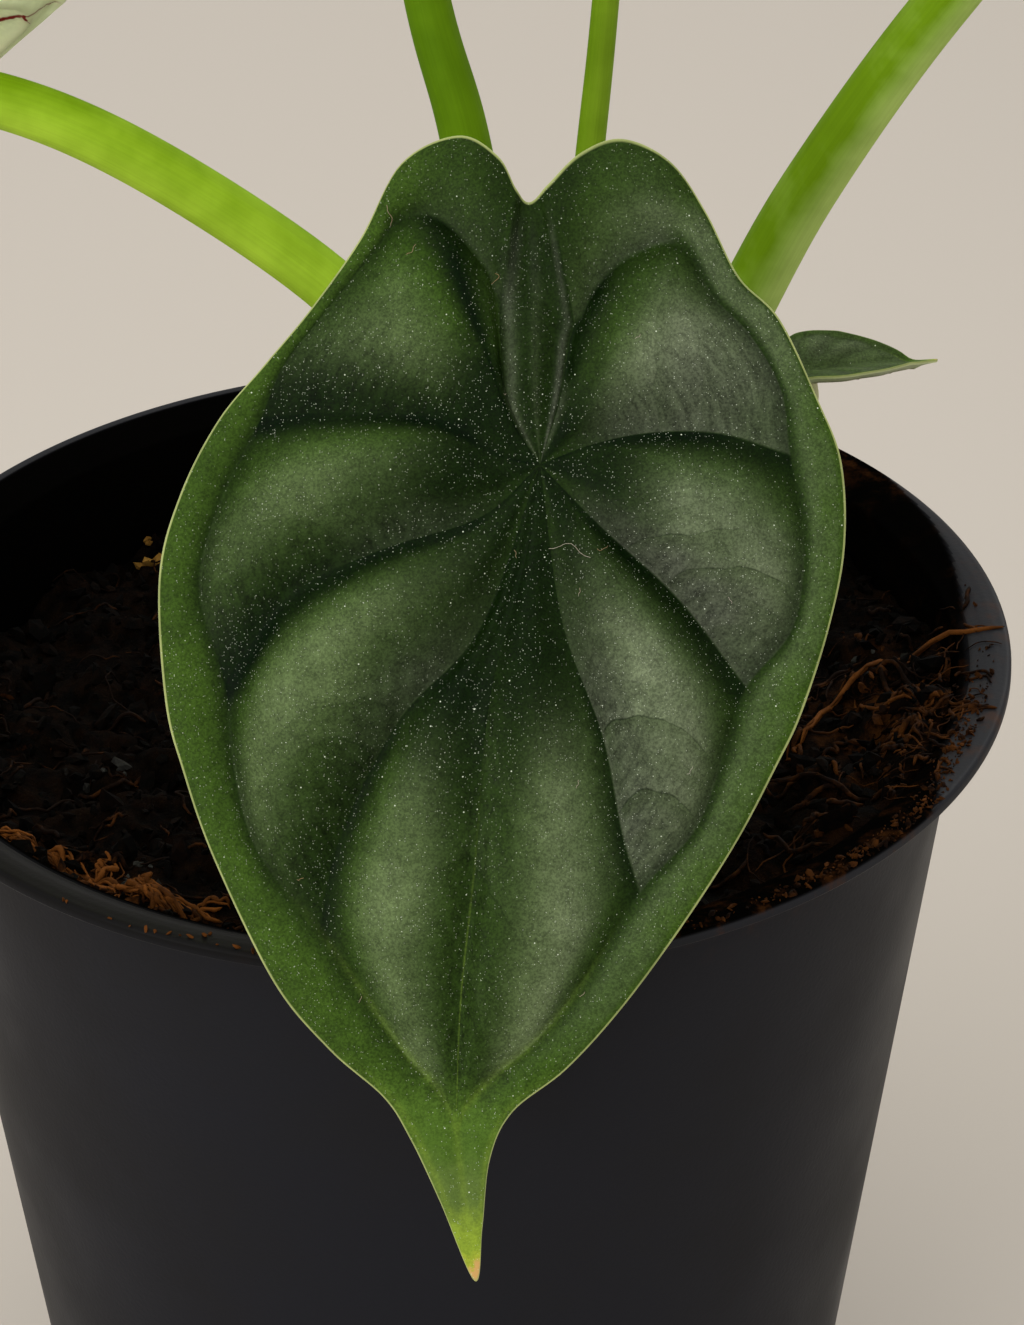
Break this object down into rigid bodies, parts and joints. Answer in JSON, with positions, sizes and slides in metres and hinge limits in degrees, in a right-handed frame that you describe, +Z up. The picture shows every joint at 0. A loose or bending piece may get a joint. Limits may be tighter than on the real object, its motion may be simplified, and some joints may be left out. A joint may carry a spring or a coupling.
{
  "type": "potted dragon scale alocasia",
  "caption": "Young aroid house plant with quilted shield-shaped leaves on arching petioles, rooted in potting mix in a tapered nursery pot with a flat rim.",
  "frame": {"origin": "middle of the pot's flat base, on the surface that the pot stands on", "axes": "+Z up along the pot's axis; -Y to the front, where the main leaf hangs over the rim; +X to the right"},
  "size_m": [0.2495, 0.1565, 0.26],
  "materials": {
    "pot_plastic": "moulded anthracite plastic with a soft satin sheen",
    "potting_mix": "dull dark peat with orange-brown coir fibres",
    "rhizome_skin": "dull brown, fibrous",
    "main_leaf_petiole_skin": "smooth, satin, yellow green",
    "main_leaf_blade_tissue": "waxy satin, quilted dark green to grey green",
    "left_leaf_petiole_skin": "smooth, satin, bright yellow green",
    "left_leaf_blade_tissue": "waxy satin above, pale and matt below",
    "back_leaf_petiole_skin": "smooth, satin, mid green",
    "back_leaf_blade_tissue": "waxy satin above, pale and matt below",
    "right_leaf_petiole_skin": "smooth, satin, green with a paler side",
    "right_leaf_blade_tissue": "waxy satin above, pale and matt below",
    "young_leaf_petiole_skin": "smooth, satin, green",
    "young_leaf_blade_tissue": "waxy satin, fresher green",
    "small_leaf_petiole_skin": "smooth, cream",
    "small_leaf_blade_tissue": "waxy satin, grey green"
  },
  "bodies": {
    "root": {"pot": "pot_plastic", "soil": "potting_mix", "rhizome": "rhizome_skin", "main_leaf_petiole": "main_leaf_petiole_skin", "main_leaf_blade": "main_leaf_blade_tissue", "left_leaf_petiole": "left_leaf_petiole_skin", "left_leaf_blade": "left_leaf_blade_tissue", "back_leaf_petiole": "back_leaf_petiole_skin", "back_leaf_blade": "back_leaf_blade_tissue", "right_leaf_petiole": "right_leaf_petiole_skin", "right_leaf_blade": "right_leaf_blade_tissue", "young_leaf_petiole": "young_leaf_petiole_skin", "young_leaf_blade": "young_leaf_blade_tissue", "small_leaf_petiole": "small_leaf_petiole_skin", "small_leaf_blade": "small_leaf_blade_tissue"}
  },
  "joints": []
}
